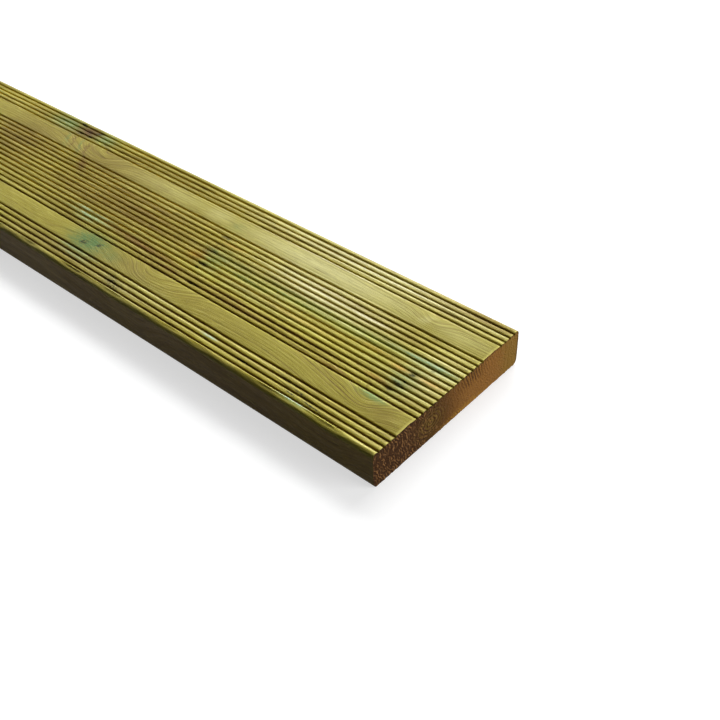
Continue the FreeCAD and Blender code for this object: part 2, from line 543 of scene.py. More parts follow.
# %% Choose what wears on the edge and the ends
ARRIS_DEPTH = 4.5
END_MARGIN = 0.05


def arris_weight(x, y, z):
    """The near upper edge gets knocked here and there."""
    if y > -reed_edge_mm or z < top_mm - ARRIS_DEPTH:
        return 0.0
    return 1.0


def right_end_weight(x, y, z):
    """The sawn end that shows."""
    return 1.0 if x > -END_MARGIN else 0.0


def left_end_weight(x, y, z):
    """The other sawn end."""
    return 1.0 if x < END_MARGIN - 2 * half_length / MM else 0.0


weigh("arris", arris_weight)
weigh("right_end", right_end_weight)
weigh("left_end", left_end_weight)


# %% A helper that wears one group
def wear(group, direction, amount, grain_size, contrast, middle):
    """Displace one group by cloudy noise that is stretched to a grain size, and apply it."""
    clouds = bpy.data.textures.new(group, "CLOUDS")
    clouds.noise_scale = 1.0
    clouds.noise_depth = 2
    clouds.contrast = contrast
    clouds.use_clamp = True
    ruler = bpy.data.objects.new("ruler", None)
    ruler.scale = grain_size
    bpy.context.scene.collection.objects.link(ruler)
    bpy.context.view_layer.update()
    bpy.ops.object.modifier_add(type="DISPLACE")
    push = board.modifiers[-1]
    push.texture = clouds
    push.texture_coords = "OBJECT"
    push.texture_coords_object = ruler
    push.vertex_group = group
    push.direction = direction
    push.strength = amount
    push.mid_level = middle
    bpy.ops.object.modifier_apply(modifier=push.name)
    bpy.data.objects.remove(ruler)


# %% Wear the surfaces
# Group, direction, how far in millimetres, grain size in millimetres, contrast and still level
WEAR = [
    ("reeds", "Z", -0.22, (60, 3, 8), 1.6, 0.0),
    ("reeds", "Y", 0.45, (35, 9, 8), 1.4, 0.5),
    ("torn", "Z", -1.1, (5, 1.6, 3), 2.0, 0.0),
    ("arris", "Z", -1.1, (28, 12, 12), 3.5, 0.0),
    ("right_end", "X", -0.5, (2, 2, 5), 1.6, 0.0),
    ("left_end", "X", 0.5, (2, 2, 5), 1.6, 0.0),
]
bpy.ops.object.select_all(action="DESELECT")
board.select_set(True)
bpy.context.view_layer.objects.active = board
for group, direction, amount, grain_size, contrast, middle in WEAR:
    grain = tuple(size * MM for size in grain_size)
    wear(group, direction, amount * MM, grain, contrast, middle)
print("worn board:", tuple(round(side, 5) for side in board.dimensions))

# %% [markdown]
# ## A flat plan of the faces
#
# Some programs want the wood as a picture, so the faces are laid out flat on a square sheet. An
# automatic layout would shrink the long board to a thin strip. Here the upper face and both
# sides lie in two strips, one for each half of the length, and they get about twice as many
# dots to a millimetre across the grain as along it, because wood changes faster that way.

# %% Share out the sheet
SHEET = 1024
EDGE_GAP = 8
LONG_SCALE = 1.1
ACROSS_SCALE = 2.1
UNDER_LONG_SCALE = 0.76
UNDER_ACROSS_SCALE = 0.48
STRIP_HEIGHT = 430
REST_FROM = 868
END_HEIGHT = 66
UNDER_FROM = 324
UNDER_HEIGHT = 76
STEEP = 0.7
EDGE_SLACK = 1.0
half_length_mm = half_length / MM
half_width_mm = half_width / MM
rounding_mm = UPPER_RADIUS / MM + EDGE_SLACK
print("sheet:", SHEET, "dots square")


# %% Where a corner lies on the sheet
def flat_place(corner, normal, right_half):
    """Where a corner of a face lies on the sheet, in dots from its lower left."""
    x, y, z = corner / MM
    x_on_half = x if right_half else x + half_length_mm
    row = 0 if right_half else 1
    if abs(normal.x) > STEEP:
        across_dots = EDGE_GAP + (y + half_width_mm) * ACROSS_SCALE
        return across_dots, REST_FROM + row * END_HEIGHT + z * ACROSS_SCALE
    if normal.z < -STEEP:
        along_dots = UNDER_FROM + x_on_half * UNDER_LONG_SCALE
        return along_dots, REST_FROM + row * UNDER_HEIGHT + (y + half_width_mm) * UNDER_ACROSS_SCALE
    if abs(normal.y) <= STEEP:
        unrolled = top_mm + y + half_width_mm
    elif normal.y < 0 and y < rounding_mm - half_width_mm:
        unrolled = z
    elif normal.y > 0 and y > half_width_mm - rounding_mm:
        unrolled = 2 * top_mm + 2 * half_width_mm - z
    else:
        unrolled = top_mm + y + half_width_mm
    return EDGE_GAP + x_on_half * LONG_SCALE, EDGE_GAP + row * STRIP_HEIGHT + unrolled * ACROSS_SCALE


# %% Lay the faces out flat
plan = board.data.uv_layers.new(name="OFBake")
for face in board.data.polygons:
    for loop in face.loop_indices:
        corner = board.data.vertices[board.data.loops[loop].vertex_index].co
        dots = flat_place(corner, face.normal, face.center.x > 0)
        plan.data[loop].uv = (dots[0] / SHEET, dots[1] / SHEET)
print("flat plan:", len(plan.data), "corners on a sheet of", SHEET, "dots")

# %% [markdown]
# ## The wood's own coordinates
#
# Every pattern in wood comes from the tree: rings round the pith, fibres along the trunk, knots
# where branches were. A solid pattern in the board's own coordinates gives the faces and the
# sawn end at once, and they agree at the edges. A small helper lets us write sums of nodes as
# ordinary sums.

# %% Start the wood
wood = bpy.data.materials.new("treated_softwood")
wood.use_nodes = True
tree = wood.node_tree
tree.nodes.clear()


def add_node(kind, **settings):
    """Add a node to the wood and set its options."""
    made = tree.nodes.new(kind)
    for name, value in settings.items():
        setattr(made, name, value)
    return made


print("wood:", wood.name)


# %% Sums and products of fields
def feed(socket, value):
    """Link a field to a socket, or set the socket to a plain value."""
    if isinstance(value, Field):
        tree.links.new(value.socket, socket)
    else:
        socket.default_value = value


class Field:
    """A value that varies through the wood. Sums and products of fields are fields."""

    def __init__(self, socket):
        self.socket = socket

    def __add__(self, other):
        return calc("ADD", self, other)

    def __sub__(self, other):
        return calc("SUBTRACT", self, other)

    def __mul__(self, other):
        return calc("MULTIPLY", self, other)

    def __truediv__(self, other):
        return calc("DIVIDE", self, other)

    def __rsub__(self, other):
        return calc("SUBTRACT", other, self)

    __radd__ = __add__
    __rmul__ = __mul__


def calc(operation, *values):
    """One Math node."""
    made = add_node("ShaderNodeMath", operation=operation)
    for socket, value in zip(made.inputs, values):
        feed(socket, value)
    return Field(made.outputs[0])


def smooth(value, start, end):
    """0 before start, 1 after end and a soft step between them."""
    made = add_node("ShaderNodeMapRange", interpolation_type="SMOOTHSTEP")
    feed(made.inputs["Value"], value)
    feed(made.inputs["From Min"], start)
    feed(made.inputs["From Max"], end)
    return Field(made.outputs["Result"])


# %% Millimetres from the sawn end
board_place = add_node("ShaderNodeTexCoord")
split_place = add_node("ShaderNodeSeparateXYZ")
tree.links.new(board_place.outputs["Object"], split_place.inputs[0])
split_normal = add_node("ShaderNodeSeparateXYZ")
tree.links.new(board_place.outputs["Normal"], split_normal.inputs[0])
facing_x = Field(split_normal.outputs["X"])
facing_y = Field(split_normal.outputs["Y"])
along = Field(split_place.outputs["X"]) * (1 / MM) - half_length / MM
across = Field(split_place.outputs["Y"]) * (1 / MM)
height = Field(split_place.outputs["Z"]) * (1 / MM)
depth = top / MM - height


def noise(x, y, z, detail=2.0, roughness=0.5):
    """Soft noise about zero, from roughly -0.5 to 0.5, of three scaled coordinates."""
    made = add_node("ShaderNodeTexNoise")
    point = add_node("ShaderNodeCombineXYZ")
    for socket, value in zip(point.inputs, (x, y, z)):
        feed(socket, value)
    tree.links.new(point.outputs[0], made.inputs["Vector"])
    made.inputs["Scale"].default_value = 1.0
    made.inputs["Detail"].default_value = detail
    made.inputs["Roughness"].default_value = roughness
    return Field(made.outputs["Fac"]) - 0.5


print("fields:", "along, across, height and depth in millimetres, and the way a face looks")

# %% [markdown]
# ## Growth rings
#
# The ring lines on the sawn end lean towards a pith that lies well outside the board, up beyond
# its far edge. So the distance from that pith, divided by the width of a ring, counts the rings. The
# trunk isn't quite straight, so the count wanders slowly along the board. Beside a branch the
# fibres sweep aside, which shows as lines that dip and come back.

# %% Bend the grain beside the branches
# Place along and across, reach to the left and right, reach across, and how far lines are pushed
GRAIN_DIPS = [
    (-36, -46, 48, 20, 24, 13.0),
    (-215, -46, 45, 26, 24, 12.0),
    (-303, -42, 30, 22, 10, -5.0),
    (-35, -35, 11, 10, 9, 6.0),
    (-48, 43, 16, 14, 9, 6.0),
    (-240, -40, 16, 20, 14, 7.0),
    (-395, 36, 50, 25, 18, 14.0),
    (-441, 62, 30, 30, 12, -6.0),
    (-650, -10, 50, 25, 25, 9.0),
    (-870, 30, 45, 25, 22, -8.0),
    (-1080, -35, 50, 25, 20, 9.0),
    (-1290, 10, 50, 25, 24, -9.0),
    (-1510, -20, 50, 25, 22, 9.0),
    (-1720, 35, 50, 25, 20, 8.0),
]


def bell(value):
    """1 at zero, falling away softly on both sides."""
    return calc("EXPONENT", value * value * -1.0)


def grain_dip(x, y, left, right, reach, push):
    """How far a branch pushes the grain lines sideways."""
    from_x = along - x
    beside = calc("MINIMUM", from_x, 0.0) / left + calc("MAXIMUM", from_x, 0.0) / right
    return bell(beside) * bell((across - y) / reach) * push


slow_bend = noise(along * 0.004, across * 0.02, height * 0.02) * 10.0
small_bend = noise(along * 0.022, across * 0.09, height * 0.09) * 2.2
bent_across = across + slow_bend + small_bend
for dip in GRAIN_DIPS:
    bent_across = bent_across + grain_dip(*dip)
print(len(GRAIN_DIPS), "branches bend the grain")

# %% Count the rings
PITH_ACROSS = 228.0
PITH_HEIGHT = 105.0
RING_WIDTH = 2.5
to_pith_across = bent_across - PITH_ACROSS
to_pith_up = height - PITH_HEIGHT
from_pith = calc("SQRT", to_pith_across * to_pith_across + to_pith_up * to_pith_up)
round_pith = calc("ARCTAN2", to_pith_up, to_pith_across * -1.0) * 250.0
ring_count = from_pith / RING_WIDTH
ring_phase = calc("FRACT", ring_count)
late_wood = smooth(ring_phase, 0.3, 0.85) * smooth(ring_phase, 1.0, 0.88)
ring_pick = add_node("ShaderNodeTexWhiteNoise", noise_dimensions="1D")
feed(ring_pick.inputs["W"], calc("FLOOR", ring_count))
ring_strength = Field(ring_pick.outputs["Value"]) * 0.75 + 0.25
rings = late_wood * ring_strength
print("rings of", RING_WIDTH, "mm about a pith at", (PITH_ACROSS, PITH_HEIGHT))

# %% Lay the fibres along the grain
fibres = noise(along * 0.018, from_pith * 0.75, round_pith * 0.05, detail=4.0, roughness=0.65)
fine_fibres = noise(along * 0.09, from_pith * 3.2, round_pith * 0.3, detail=2.0)
flecks = noise(along * 0.16, from_pith * 1.3, round_pith * 0.2, detail=3.0, roughness=0.6)
hairs = noise(along * 0.06, from_pith * 1.9, round_pith * 0.1, detail=3.0, roughness=0.7)
print("fibres follow the bent grain")

# %% [markdown]
# ## The colours of treated wood
#
# Fresh preservative leaves pine a yellowish green. The planed faces go from pale straw to olive
# and ochre over a hand's breadth, so slow noise mixes them, and a few soft strokes put the
# palest and brownest places where they lie on this board. The pale strokes along the far band
# are partly a painted sheen, and the broad brown ones further from the sawn end partly painted
# shade. In the lively places the rings show more.

# %% Mixing colours
def paint(red, green, blue):
    """A colour as a picture shows it, 0 to 255, turned into the light it reflects (sRGB curve)."""
    linear = []
    for value in (red, green, blue):
        share = value / 255
        linear.append(share / 12.92 if share <= 0.04045 else ((share + 0.055) / 1.055) ** 2.4)
    return tuple(linear) + (1.0,)


# The Mix node's sockets for colours
FIRST_COLOUR = 6
SECOND_COLOUR = 7
MIXED_COLOUR = 2


def mix(factor, one, other, blend="MIX"):
    """One colour where the factor is 0, the other where it is 1."""
    made = add_node("ShaderNodeMix", data_type="RGBA", blend_type=blend, clamp_factor=True)
    feed(made.inputs["Factor"], factor)
    feed(made.inputs[FIRST_COLOUR], one)
    feed(made.inputs[SECOND_COLOUR], other)
    return Field(made.outputs[MIXED_COLOUR])


STRAW = paint(210, 205, 140)
OLIVE = paint(154, 144, 45)
LATE_WOOD = paint(104, 74, 20)
DEEP_FIBRE = paint(78, 58, 18)
PALE_FIBRE = paint(208, 197, 100)
BROWN_TINT = (0.6, 0.5, 0.38, 1.0)
print("paints:", "straw, olive, late wood and two fibres")


# %% Soft brush strokes
def stroke(x, y, long, wide, lean=0.0, strength=1.0):
    """A soft brush stroke along the grain: half its length and half its width in millimetres."""
    from_x = ragged_along - x
    from_y = ragged_across - y - from_x * lean
    return bell(from_x / long) * bell(from_y / wide) * strength


def all_strokes(spots):
    """The strongest of several strokes at each place."""
    joined = stroke(*spots[0])
    for spot in spots[1:]:
        joined = calc("MAXIMUM", joined, stroke(*spot))
    return joined


ragged_along = along + noise(along * 0.06, across * 0.35, height * 0.1) * 14.0
ragged_across = across + noise(along * 0.05, across * 0.3, height * 0.3, detail=3.0) * 3.0
blotch_noise = noise(along * 0.4, across * 0.7, height * 0.5, detail=4.0, roughness=0.7)
blotches = smooth(blotch_noise, -0.1, 0.1)
break_noise = noise(along * 0.07, across * 0.8, height * 0.5, detail=4.0, roughness=0.7)
breaks = smooth(break_noise, -0.2, 0.2)
print("strokes follow the grain with ragged edges")

# %% List the pale, brown and lively places
# Pale strokes are pale wood, and along the far band partly a painted sheen
# Place along and across, half the length and half the width, lean and strength
PALE_AND_SHEEN_PLACES = [
    (-142, 43, 80, 10, 0.0, 0.88),
    (-253, 43, 18, 8, 0.0, 0.45),
    (-53, 43, 7, 7, 0.5, 0.5),
    (-26, 43, 30, 9, 0.0, 0.35),
    (-310, 43, 60, 9, 0.0, 0.3),
    (-125, 22, 54, 11, 0.0, 0.6),
    (-85, 20, 22, 2.0, 0.0, 0.8),
    (-120, 62, 110, 8, 0.0, 0.55),
    (-12, 2, 22, 30, 0.0, 0.25),
]
# Brown strokes are brown wood, and the broad ones further from the sawn end partly painted shade
BROWN_AND_SHADE_PLACES = [
    (-320, 4, 100, 24),
    (-190, -26, 140, 6, 0.02, 0.6),
    (-380, 34, 60, 30, 0.0, 0.8),
    (-480, 20, 60, 40),
    (-16, 68, 36, 6),
    (-310, 62, 50, 8, 0.0, 0.5),
    (-300, -62, 60, 9, 0.0, 0.8),
    (-260, -43, 40, 9, 0.0, 0.6),
    (-180, -43, 60, 9, 0.0, 0.4),
    (-46, 22, 14, 4, 0.0, 0.6),
    (-14, -44, 14, 8, 0.0, 0.8),
    (-226, 4, 6, 16),
]
LIVELY_PLACES = [
    (-55, -43, 50, 14),
    (-244, -43, 24, 14, 0.0, 0.3),
    (-40, 43, 34, 10, 0.0, 0.2),
    (-415, 40, 40, 14, 0.0, 0.5),
]
print(len(PALE_AND_SHEEN_PLACES), "pale and", len(BROWN_AND_SHADE_PLACES), "brown places")

# %% Lay the ground colour
slow_tone = noise(along * 0.006, across * 0.03, height * 0.05, detail=3.0)
pale = smooth(slow_tone, 0.0, 0.45) * 0.3
# Pale wood, and a painted sheen along the far band
pale = calc("MAXIMUM", pale, all_strokes(PALE_AND_SHEEN_PLACES))
brown = smooth(slow_tone, 0.05, -0.4) * 0.4
# Brown wood, and further from the sawn end partly painted shade
brown = calc("MAXIMUM", brown, all_strokes(BROWN_AND_SHADE_PLACES))
lively = all_strokes(LIVELY_PLACES)
ground = mix(pale, OLIVE, STRAW)
ground = mix(brown * 0.9, ground, BROWN_TINT, blend="MULTIPLY")
ground = mix(rings * (lively * 0.6 + 0.3), ground, LATE_WOOD)
ground = mix(smooth(fibres, 0.0, 0.32) * 0.5, ground, DEEP_FIBRE)
ground = mix(smooth(fibres, -0.02, -0.3) * 0.45, ground, PALE_FIBRE)
ground = mix(smooth(hairs, 0.02, 0.28) * 0.6, ground, DEEP_FIBRE)
ground = mix(smooth(hairs, -0.04, -0.28) * 0.6, ground, PALE_FIBRE)
ground = mix(smooth(fine_fibres, 0.04, 0.3) * 0.4, ground, DEEP_FIBRE)
ground = mix(smooth(flecks, 0.13, 0.3) * 0.65, ground, DEEP_FIBRE)
print("ground colour laid with rings, fibres and hairs")

# %% [markdown]
# ## Preservative stains
#
# Where resin or sapwood takes up more of the salts, they show as green or pale aqua streaks
# along the grain, and some reeds take a mint or an amber tinge. They are brush strokes too, broken
# up by streaky noise so that they follow the fibres. Iron in the sap leaves a rusty streak in the
# same way. Green and aqua cover the wood, and the other three tint it. Rows read as those above.

# %% Choose the stains
GREEN = paint(90, 118, 60)
AQUA = paint(148, 178, 122)
RUST_TINT = (0.5, 0.27, 0.2, 1.0)
MINT_TINT = (0.97, 1.12, 1.7, 1.0)
AMBER_TINT = (1.08, 0.76, 0.5, 1.0)
print("stains:", "green, aqua, rust, mint and amber")

# %% List the mint and amber reeds
MINT_STREAKS = [
    (-92, 5, 80, 6.5, 0.05),
    (-110, 8, 90, 6, 0.0, 0.6),
    (-190, 4, 34, 9, 0.0, 0.8),
    (-208, -4, 12, 12, 0.0, 0.6),
    (-28, -12, 14, 16, 0.0, 0.8),
    (-52, -6, 24, 20, 0.0, 0.45),
    (-172, -2, 26, 2.4),
    (-150, -12, 60, 4, 0.0, 0.6),
]
AMBER_STREAKS = [
    (-36, -4.6, 9, 1.9),
    (-13, -4.6, 8, 1.9, 0.0, 0.8),
    (-60, 0.2, 14, 1.6, 0.0, 0.6),
    (-214, 20.5, 9, 2.0, 0.0, 0.7),
    (-229, -3.0, 7, 5.0, 0.0, 0.7),
    (-42, -20.5, 8, 1.8, 0.0, 0.7),
    (-120, -10.0, 30, 1.6, 0.0, 0.5),
]
print(len(MINT_STREAKS), "mint and", len(AMBER_STREAKS), "amber streaks")

# %% List the green and aqua streaks
GREEN_STREAKS = [
    (-20, 9, 30, 2.4),
    (-140, 3, 40, 1.6, 0.0, 0.75),
    (-125, 7.8, 50, 1.4, 0.0, 0.65),
    (-80, 2.6, 34, 1.4, 0.0, 0.6),
    (-64, 7.6, 34, 1.6, 0.0, 0.75),
    (-60, 12.4, 30, 1.2, 0.0, 0.5),
    (-172, -2, 24, 1.6, 0.0, 0.75),
    (-222, 9.0, 8, 1.8, 0.0, 0.8),
    (-212, 5.5, 7, 1.6, 0.0, 0.6),
    (-207, 0, 6, 1.6, 0.0, 0.5),
    (-212, -5.0, 6, 1.4, 0.0, 0.6),
    (-27, -15, 7, 1.6, 0.0, 0.7),
    (-34, -35.5, 10, 2.6, 0.0, 1.2),
    (-303, -42, 18, 10, 0.0, 2.0),
    (-278, -44, 12, 7, 0.0, 0.7),
    (-231, 40, 6, 4, 0.0, 0.6),
    (-214, 3, 10, 11, 0.0, 0.65),
    (-24, 12.6, 18, 0.9),
    (-198, 7.5, 26, 1.4, 0.0, 0.7),
    (-28, -12, 9, 14, 0.0, 0.5),
    (-470, 62, 22, 8, 0.0, 0.9),
    (-418, 62, 14, 8, 0.0, 0.8),
    (-447, 44, 8, 2, -1.2, 0.8),
    (-428, 43, 8, 1.6, -1.2),
]
AQUA_STREAKS = [
    (-20, 10.6, 9, 1.5),
    (-34, 9.6, 9, 1.3, 0.0, 0.7),
    (-46, 10.0, 8, 1.3, 0.0, 0.4),
    (-68, -69, 9, 1.5),
    (-151, -59.4, 7, 1.3, 0.0, 0.8),
    (-343, -15, 9, 1.1, 0.0, 1.2),
    (-322, -15, 9, 0.8, 0.0, 0.7),
    (-330, -17.4, 10, 0.7),
    (-333, -20, 20, 1.1, 0.0, 1.2),
    (-338, -22.4, 12, 0.7),
    (-331, -25, 9, 0.9),
    (-468, 60, 14, 7, 0.0, 0.5),
    (-420, 62, 10, 6, 0.0, 0.4),
    (-30, -15.5, 5, 1.2, 0.0, 0.5),
    (-300, -54.6, 18, 1.4, 0.0, 0.7),
    (-298, -59.6, 15, 1.4, 0.0, 0.7),
    (-33, -35.5, 5, 1.0, 0.0, 0.35),
]
print(len(GREEN_STREAKS), "green and", len(AQUA_STREAKS), "aqua streaks")

# %% List the rusty streaks
RUST_STREAKS = [
    (-268, -20, 50, 3.0, -0.04),
    (-290, -17.4, 30, 1.2, 0.0),
    (-50, 71, 60, 1.6, 0.0, 0.6),
    (-26, 66.5, 34, 1.4, 0.0, 0.6),
    (-300, 10, 60, 1.4, 0.0, 0.6),
    (-320, 20, 50, 1.4, 0.0, 0.6),
    (-290, 0, 44, 1.2, 0.0, 0.5),
    (-246, -22.4, 18, 1.6, 0.0),
    (-236, -27.4, 20, 1.6, 0.0),
    (-236, -32.4, 18, 1.4, 0.0),
    (-160, -27.0, 30, 1.8, 0.0),
    (-170, -22.4, 30, 1.4, 0.0),
    (-106, -22.4, 36, 1.4, 0.0),
    (-70, -30.8, 14, 1.6, 0.0),
    (-34, -21.7, 7, 1.2, 0.0, 0.8),
    (-439, 44, 8, 1.6, -1.2),
    (-418, 41, 9, 2.4, -1.2),
    (-402, 26, 9, 5, -0.8),
]
print(len(RUST_STREAKS), "rusty streaks")

# %% Stain the streaks
green = all_strokes(GREEN_STREAKS) * (breaks * 0.45 + blotches * 0.35 + 0.2)
aqua = all_strokes(AQUA_STREAKS) * (breaks * 0.6 + blotches * 0.4 + 0.05)
rust = all_strokes(RUST_STREAKS) * (breaks * 0.6 + 0.4)
mint = all_strokes(MINT_STREAKS) * (breaks * 0.4 + 0.6)
stained = mix(rust, ground, RUST_TINT, blend="MULTIPLY")
stained = mix(mint, stained, MINT_TINT, blend="MULTIPLY")
stained = mix(all_strokes(AMBER_STREAKS), stained, AMBER_TINT, blend="MULTIPLY")
stained = mix(green, stained, GREEN)
stained = mix(aqua * 0.95, stained, AQUA)
print("stains laid, aqua last")

# %% [markdown]
# ## Dark knots
#
# A knot's wood is brown and hard, and torn fibres round it catch the preservative and turn
# nearly black. The marks are the ones listed for the torn surface. Blotchy noise roughens them,
# and a few thin dark slivers lie in the grooves where the grain dives. The reeds' tops stay paler,
# so the depth below the upper face has to tell reeds from grooves first.

# %% Find the reeds and grooves
# Where a flat band fades in and out, and where the rounded edge starts, from the centre line
BAND_START = (34.0, 35.5)
BAND_END = (51.0, 49.5)
ROUNDED_EDGE = (70.5, 69.5)
from_middle = calc("ABSOLUTE", across)
on_band = smooth(from_middle, *BAND_START) * smooth(from_middle, *BAND_END)
off_band = 1.0 - on_band
inside_edges = smooth(from_middle, *ROUNDED_EDGE)
in_groove = smooth(depth, 0.5, 1.25) * smooth(depth, 2.6, 2.2) * inside_edges
on_crest = off_band * smooth(depth, 0.7, 0.1)
to_side = calc("ABSOLUTE", facing_y)
on_side = smooth(depth, 2.2, 4.5) * smooth(to_side, 0.2, 0.7)
print("reeds, grooves, bands and sides told apart")

# %% Darken the knots
KNOT_DARK = paint(36, 37, 15)
KNOT_BROWN = paint(80, 48, 26)
DARK_SLIVERS = [
    (-80, -57, 8, 0.8, -0.08),
    (-66, -61.5, 10, 0.9, -0.08),
    (-54, -66, 9, 0.8, -0.08),
    (-74, -65, 7, 0.7, -0.08),
    (-256, -58, 8, 1.6, -0.1),
    (-250, -62, 9, 1.8, -0.1),
    (-246, -66, 8, 1.5, -0.1),
    (-117, -62.5, 9, 0.9),
]
knot_brown = all_strokes(OVAL_KNOTS)
knot_dark = smooth(all_strokes(SPIKE_MARKS), 0.1, 0.8) * (blotches * 0.6 + 0.4)
knot_dark = knot_dark * (1.0 - off_band * smooth(depth, 0.6, 0.05) * 0.65)
slivers = all_strokes(DARK_SLIVERS) * (blotches * 0.9 + 0.2)
marked = mix(knot_brown * 0.85, stained, KNOT_BROWN)
marked = mix(calc("MAXIMUM", knot_dark, slivers), marked, KNOT_DARK)
print(len(DARK_SLIVERS), "slivers beside the knots")

# %% [markdown]
# ## Reeds, grooves and sides
#
# The grooves are darkened by painted shade with some dust, most near the near edge, and lifted
# by painted light further from the sawn end and along the middle. The side of each reed that
# faces the back lamp gets a painted highlight, and the lips that face the front some painted
# light. The planed sides are browner wood and painted shade. Each is a tint that multiplies the
# wood below it, so streaks and knots run on through them.

# %% Choose the tints
# Groove tints: painted shade with some dust, darkest near the near edge, and painted light
NEAR_GROOVE_DUST_AND_SHADE = (0.55, 0.36, 0.34, 1.0)
GROOVE_SHADE_WITH_DUST = (0.75, 0.62, 0.42, 1.0)
LIT_GROOVE = (1.7, 1.5, 1.3, 1.0)
# Painted light on the lips that face the front
NEAR_LIP_LIGHT = (1.5, 1.48, 1.35, 1.0)
# Painted highlight on the side of each reed that faces the back lamp
BRIGHT_CREST_HIGHLIGHT = (2.0, 2.12, 3.7, 1.0)
DULL_CREST_HIGHLIGHT = (1.28, 1.36, 2.0, 1.0)
NEAR_CREST_HIGHLIGHT = (1.2, 1.2, 1.65, 1.0)
# The sides are browner wood and painted shade
SIDE_BROWN_AND_SHADE = (0.6, 0.44, 0.34, 1.0)
# Dirty and dark grooves carry painted shade with dust, light grooves painted light, crests a painted
# highlight
print("tints for dirty, dark and light grooves, near lips, crests and sides")

# %% Find where the tints go
# How strongly the painted shade and dust lie along each groove
groove_dust_and_shade_noise = smooth(noise(along * 0.03, across * 0.2, 7.0, detail=3.0), -0.35, 0.25)
# How strongly the painted highlight lies along each reed
crest_highlight_noise = smooth(noise(along * 0.025, across * 0.19, 3.0, detail=3.0), -0.3, 0.3)
to_left = smooth(along, -60.0, -360.0)
# A strip down the middle whose grooves get painted light
lit_groove_strip = bell(across / 13.0) * smooth(along, -25.0, -70.0)
away_from_near_edge = smooth(across, -36.0, -14.0)
# Painted light and painted shade, with some dust, in the grooves
groove_light_and_shade = mix(calc("MAXIMUM", to_left, lit_groove_strip * 0.7), GROOVE_SHADE_WITH_DUST, LIT_GROOVE)
groove_light_and_shade = mix(away_from_near_edge, NEAR_GROOVE_DUST_AND_SHADE, groove_light_and_shade)
# The painted highlight is duller further from the sawn end and changes near the near right
crest_highlight_tint = mix(to_left, BRIGHT_CREST_HIGHLIGHT, DULL_CREST_HIGHLIGHT)
near_right = smooth(across, -46.0, -56.0) * smooth(along, -300.0, -200.0)
crest_highlight_tint = mix(near_right, crest_highlight_tint, NEAR_CREST_HIGHLIGHT, blend="MULTIPLY")
towards_back = facing_y + away_from_near_edge * 0.18 + 0.1
# Painted highlight on the crest's side that faces the back lamp
crest_highlight_mask = on_crest * smooth(towards_back, -0.1, 0.32)
towards_front = 0.0 - facing_y
# Where the painted light on the front-facing lips goes
near_lip_light = off_band * inside_edges * smooth(towards_front, 0.05, 0.4) * smooth(depth, 1.0, 0.55)
print("tints change along and across the board")

# %% Tint the reeds and grooves
# Painted shade with some dust in the grooves, and painted light where they are lifted
planed = mix(in_groove * (groove_dust_and_shade_noise * 0.3 + 0.7), marked, groove_light_and_shade, blend="MULTIPLY")
# Painted light on the front-facing lips, less further from the sawn end
planed = mix(near_lip_light * (1.0 - to_left * 0.5), planed, NEAR_LIP_LIGHT, blend="MULTIPLY")
# Painted highlight on each reed's side that faces the back lamp
planed = mix(crest_highlight_mask * (crest_highlight_noise * 0.4 + 0.6), planed, crest_highlight_tint, blend="MULTIPLY")
# Browner wood and painted shade on the sides
planed = mix(on_side, planed, SIDE_BROWN_AND_SHADE, blend="MULTIPLY")
print("tints laid on reeds, grooves and sides")

# %% Vary the reeds
DULL_REED = (0.86, 0.83, 0.8, 1.0)
BRIGHT_REED = (1.08, 1.1, 1.16, 1.0)
reed_number = calc("FLOOR", across / (PITCH / MM) + 0.5)
reed_tone = noise(along * 0.012, reed_number * 3.7, 1.0, detail=3.0)
reed_tint = mix(smooth(reed_tone, -0.2, 0.2), DULL_REED, BRIGHT_REED)
planed = mix(off_band, planed, reed_tint, blend="MULTIPLY")
dashes = noise(along * 0.045, across * 0.7, height * 0.5, detail=4.0, roughness=0.65)
planed = mix(off_band * smooth(dashes, 0.08, 0.26) * 0.65, planed, DEEP_FIBRE)
planed = mix(off_band * smooth(dashes, -0.08, -0.26) * 0.3, planed, PALE_FIBRE)
torn_edge = smooth(along, -2.6, -0.6) * smooth(depth, 1.0, 0.2)
planed = mix(torn_edge * 0.55, planed, PALE_FIBRE)
print("reeds differ in tone")

# %% [markdown]
# ## The sawn end
#
# End grain drinks in more of the treatment and the weather, so it is brown. The rings show as
# leaning bars, the saw has torn the softer wood between them into short squiggles, and the end
# goes from dark at the near edge to orange and olive at the far one. A small branch leaves a
# swirl of its own. Painted shade darkens it along its upper and far edges.

# %% Choose the end's paints
END_LIGHT = paint(204, 148, 90)
END_DARK = paint(50, 30, 12)
END_MIDDLE = paint(176, 122, 58)
END_SHADE = paint(72, 43, 15)
END_YELLOW = paint(226, 170, 60)
END_OLIVE = paint(162, 130, 56)
SAW_LINE = 2.2
print("end paints:", "light, dark, middle, shade, yellow and olive")

# %% Draw the saw's lines and the bars
end_share = smooth(calc("ABSOLUTE", facing_x), 0.6, 0.85)
end_mottle = noise(across * 0.3, height * 0.3, along * 0.1, detail=4.0, roughness=0.7)
wide_bend = noise(across * 0.1, height * 0.16, 2.0) * 9.0
squiggle = noise(across * 0.26, height * 0.17, 5.0, detail=3.0, roughness=0.6) * 3.2
saw_phase = calc("FRACT", (from_pith + wide_bend + squiggle) / SAW_LINE)
broken = smooth(noise(across * 0.34, height * 0.22, 9.0, detail=3.0), -0.1, 0.12)
light_lines = smooth(saw_phase, 0.4, 0.68) * smooth(saw_phase, 1.0, 0.84) * broken
bar_phase = calc("FRACT", (from_pith + end_mottle * 3.0) / RING_WIDTH)
bars = smooth(bar_phase, 0.2, 0.5) * smooth(bar_phase, 1.0, 0.75)
grit = noise(across * 0.9, height * 0.7, along * 0.1, detail=3.0, roughness=0.7)
wavy_across = across + end_mottle * 24.0
more_torn = smooth(wavy_across, 0.0, -34.0)
